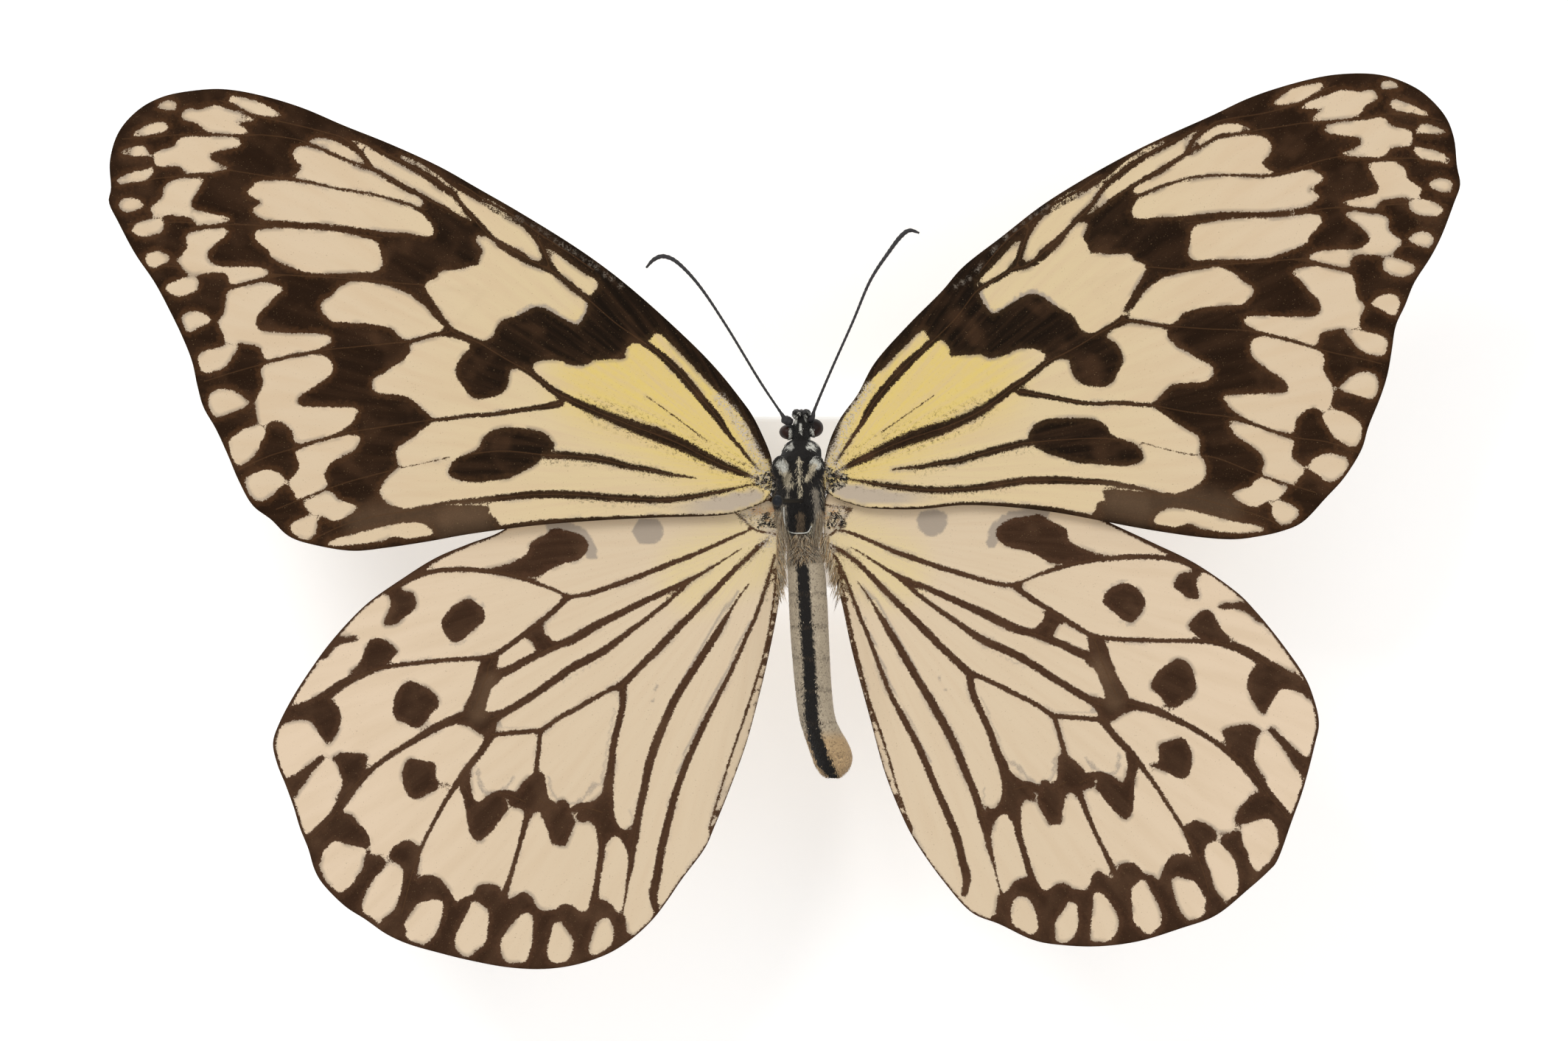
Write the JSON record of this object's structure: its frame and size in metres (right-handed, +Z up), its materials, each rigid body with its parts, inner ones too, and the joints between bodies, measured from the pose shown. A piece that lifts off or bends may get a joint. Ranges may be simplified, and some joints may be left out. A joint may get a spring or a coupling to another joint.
{
  "type": "pinned paper kite butterfly",
  "caption": "Spread museum specimen of a large pale butterfly with dark veins and blotches, held flat above a small plain display stand.",
  "frame": {"origin": "centre of the base's flat underside, straight below the place where the pin enters the thorax", "axes": "+Z up, +Y towards the butterfly's head, +X towards its right wings"},
  "size_m": [0.1297, 0.0862, 0.0355],
  "materials": {
    "body_hair": "short black and cream hair over chitin",
    "abdomen": "short grey and buff scales",
    "eye": "dark glossy lens",
    "antenna": "fine black scales",
    "proboscis": "smooth dark chitin",
    "wing": "cream membrane with matt dark brown scales",
    "leg": "matt dark chitin",
    "pin": "dark blue-grey enamel head on a black shaft",
    "rod": "satin steel",
    "base": "matt off-white paint"
  },
  "bodies": {
    "root": {"head": "body_hair", "eye_left": "eye", "eye_right": "eye", "antenna_left": "antenna", "antenna_right": "antenna", "palp_left": "body_hair", "palp_right": "body_hair", "proboscis": "proboscis", "prothorax": "body_hair", "thorax": "body_hair", "tegula_left": "body_hair", "tegula_right": "body_hair", "abdomen": "abdomen", "abdomen_tip": "abdomen", "forewing_left": "wing", "forewing_right": "wing", "hindwing_left": "wing", "hindwing_right": "wing", "foreleg_left": "leg", "foreleg_right": "leg", "middle_leg_left": "leg", "middle_leg_right": "leg", "hind_leg_left": "leg", "hind_leg_right": "leg", "pin": "pin", "stand_rod": "rod", "stand_base": "base"}
  },
  "joints": []
}
